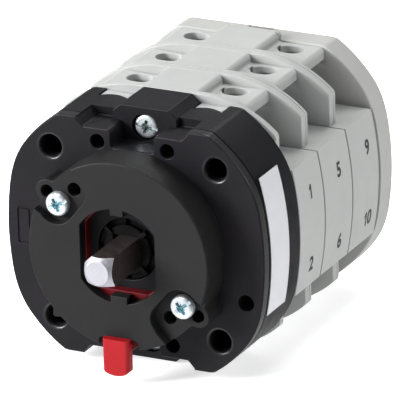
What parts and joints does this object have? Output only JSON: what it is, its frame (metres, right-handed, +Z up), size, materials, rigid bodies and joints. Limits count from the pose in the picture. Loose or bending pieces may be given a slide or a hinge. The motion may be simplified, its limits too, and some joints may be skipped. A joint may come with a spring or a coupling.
{
  "type": "changeover cam switch",
  "caption": "Rear-mounted rotary cam changeover switch: black flanged mechanism with round front turret, red release, square shaft and grey contact decks with screw terminals.",
  "frame": {"origin": "centre of the 36 x 36 mm mounting hole pattern, on the front face of the flange", "axes": "+X to the right seen from the front, +Y along the shaft towards the back, +Z up"},
  "size_m": [0.0563, 0.0773, 0.0532],
  "materials": {
    "housing_black": "fine satin moulded surface",
    "turret_black": "fine matt moulded surface",
    "hub_black": "satin",
    "release_red": "semi-gloss moulded",
    "deck_grey": "fine satin moulded surface",
    "index_ivory": "satin",
    "zinc_screw": "bright blue zinc plating",
    "shaft_steel": "drawn bar, sawn end",
    "spring_steel": "drawn wire",
    "plate_steel": "stamped sheet",
    "contact_copper": "bare copper alloy with silver pads",
    "contact_brass": "stamped brass",
    "label_white": "bare matt label"
  },
  "bodies": {
    "casing": {"mechanism_housing": "housing_black", "front_turret": "turret_black", "turret_screws": "zinc_screw", "slide_springs": "spring_steel", "index_spring_left": "spring_steel", "index_spring_right": "spring_steel", "stop_plate": "plate_steel", "contact_deck_1": "deck_grey", "contact_deck_2": "deck_grey", "contact_deck_3": "deck_grey", "contact_spring_a1": "spring_steel", "contact_spring_a2": "spring_steel", "contact_spring_a3": "spring_steel", "contact_spring_b1": "spring_steel", "contact_spring_b2": "spring_steel", "contact_spring_b3": "spring_steel", "fixed_contacts_1": "contact_brass", "fixed_contacts_2": "contact_brass", "fixed_contacts_3": "contact_brass", "terminal_screws_1": "zinc_screw", "terminal_screws_2": "zinc_screw", "terminal_screws_3": "zinc_screw", "clamp_washers_1": "zinc_screw", "clamp_washers_2": "zinc_screw", "clamp_washers_3": "zinc_screw", "back_cover": "deck_grey", "tie_screws": "zinc_screw", "tie_nuts": "zinc_screw", "side_label": "label_white"},
    "rotor": {"drive_shaft": "shaft_steel", "front_hub": "hub_black", "index_wheel": "index_ivory", "cam_1": "hub_black", "cam_2": "hub_black", "cam_3": "hub_black", "rear_hub": "hub_black"},
    "release": {"release_slide": "release_red"},
    "plunger_left": {"index_plunger_left": "index_ivory"},
    "plunger_right": {"index_plunger_right": "index_ivory"},
    "contact_a1": {"follower_a1": "index_ivory", "bridge_a1": "contact_copper"},
    "contact_a2": {"follower_a2": "index_ivory", "bridge_a2": "contact_copper"},
    "contact_a3": {"follower_a3": "index_ivory", "bridge_a3": "contact_copper"},
    "contact_b1": {"follower_b1": "index_ivory", "bridge_b1": "contact_copper"},
    "contact_b2": {"follower_b2": "index_ivory", "bridge_b2": "contact_copper"},
    "contact_b3": {"follower_b3": "index_ivory", "bridge_b3": "contact_copper"}
  },
  "joints": [
    {"name": "shaft_turn", "type": "hinge", "parent": "casing", "child": "rotor", "pos_m": [0, 0, 0], "axis": [0, 1, 0], "range_deg": [-60, 60]},
    {"name": "release_pull", "type": "slide", "parent": "casing", "child": "release", "axis": [0, 0, -1], "range_m": [0, 0.002], "stiffness_N_per_m": 200, "springref_m": -0.004, "deforming": ["slide_springs"]},
    {"name": "index_left", "type": "slide", "parent": "casing", "child": "plunger_left", "axis": [1, 0, 0], "range_m": [0, 0.002], "stiffness_N_per_m": 400, "springref_m": 0.005, "deforming": ["index_spring_left"]},
    {"name": "index_right", "type": "slide", "parent": "casing", "child": "plunger_right", "axis": [-1, 0, 0], "range_m": [0, 0.002], "stiffness_N_per_m": 400, "springref_m": 0.005, "deforming": ["index_spring_right"]},
    {"name": "contact_a1_slide", "type": "slide", "parent": "casing", "child": "contact_a1", "axis": [1, 0, 0], "range_m": [-0.0016, 0.0016], "deforming": ["contact_spring_a1"]},
    {"name": "contact_a2_slide", "type": "slide", "parent": "casing", "child": "contact_a2", "axis": [1, 0, 0], "range_m": [-0.0016, 0.0016], "deforming": ["contact_spring_a2"]},
    {"name": "contact_a3_slide", "type": "slide", "parent": "casing", "child": "contact_a3", "axis": [1, 0, 0], "range_m": [-0.0016, 0.0016], "deforming": ["contact_spring_a3"]},
    {"name": "contact_b1_slide", "type": "slide", "parent": "casing", "child": "contact_b1", "axis": [1, 0, 0], "range_m": [-0.0016, 0.0016], "deforming": ["contact_spring_b1"]},
    {"name": "contact_b2_slide", "type": "slide", "parent": "casing", "child": "contact_b2", "axis": [1, 0, 0], "range_m": [-0.0016, 0.0016], "deforming": ["contact_spring_b2"]},
    {"name": "contact_b3_slide", "type": "slide", "parent": "casing", "child": "contact_b3", "axis": [1, 0, 0], "range_m": [-0.0016, 0.0016], "deforming": ["contact_spring_b3"]}
  ],
  "couplings": [
    {"joint": "contact_a1_slide", "follows": "shaft_turn", "m_per_rad": 0.0014324},
    {"joint": "contact_a2_slide", "follows": "shaft_turn", "m_per_rad": 0.0014324},
    {"joint": "contact_a3_slide", "follows": "shaft_turn", "m_per_rad": 0.0014324},
    {"joint": "contact_b1_slide", "follows": "shaft_turn", "m_per_rad": 0.0014324},
    {"joint": "contact_b2_slide", "follows": "shaft_turn", "m_per_rad": 0.0014324},
    {"joint": "contact_b3_slide", "follows": "shaft_turn", "m_per_rad": 0.0014324}
  ]
}
